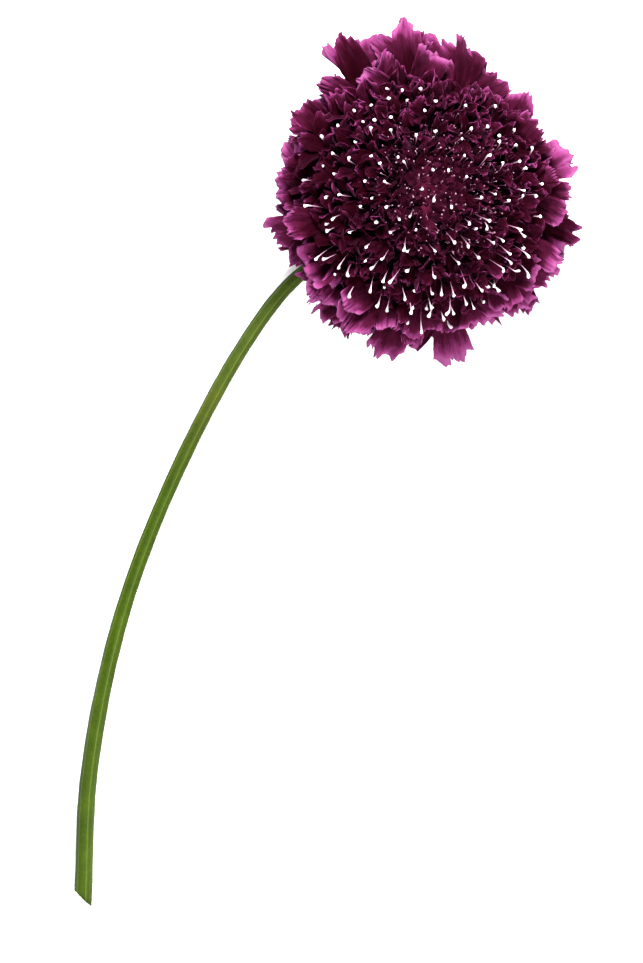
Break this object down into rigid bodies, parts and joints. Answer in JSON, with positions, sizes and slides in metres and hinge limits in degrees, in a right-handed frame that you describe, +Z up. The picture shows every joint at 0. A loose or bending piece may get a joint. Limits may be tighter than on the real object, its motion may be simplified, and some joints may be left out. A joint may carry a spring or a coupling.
{
  "type": "scabiosa flower",
  "caption": "Cut double scabiosa (pincushion) flower lying on a surface: a ball of frilled dark plum florets with pale pins, green bracts and a curved bare stem.",
  "frame": {"origin": "on the surface that the flower lies on, under the middle of the whole flower's box", "axes": "+Z up; +Y from the stem's cut end towards the bloom; the bloom faces up and leans a little to +X +Y"},
  "size_m": [0.1096, 0.189, 0.0557],
  "materials": {
    "petals": "velvety fresh petals, dark plum with magenta margins",
    "pins": "waxy white stigmas on pale threads",
    "bracts": "downy green leaf",
    "stem": "smooth green stem with faint ribs",
    "pith": "moist pale green cut face"
  },
  "bodies": {
    "root": {"bloom": "petals", "involucre": "bracts", "stem": "stem"}
  },
  "joints": []
}
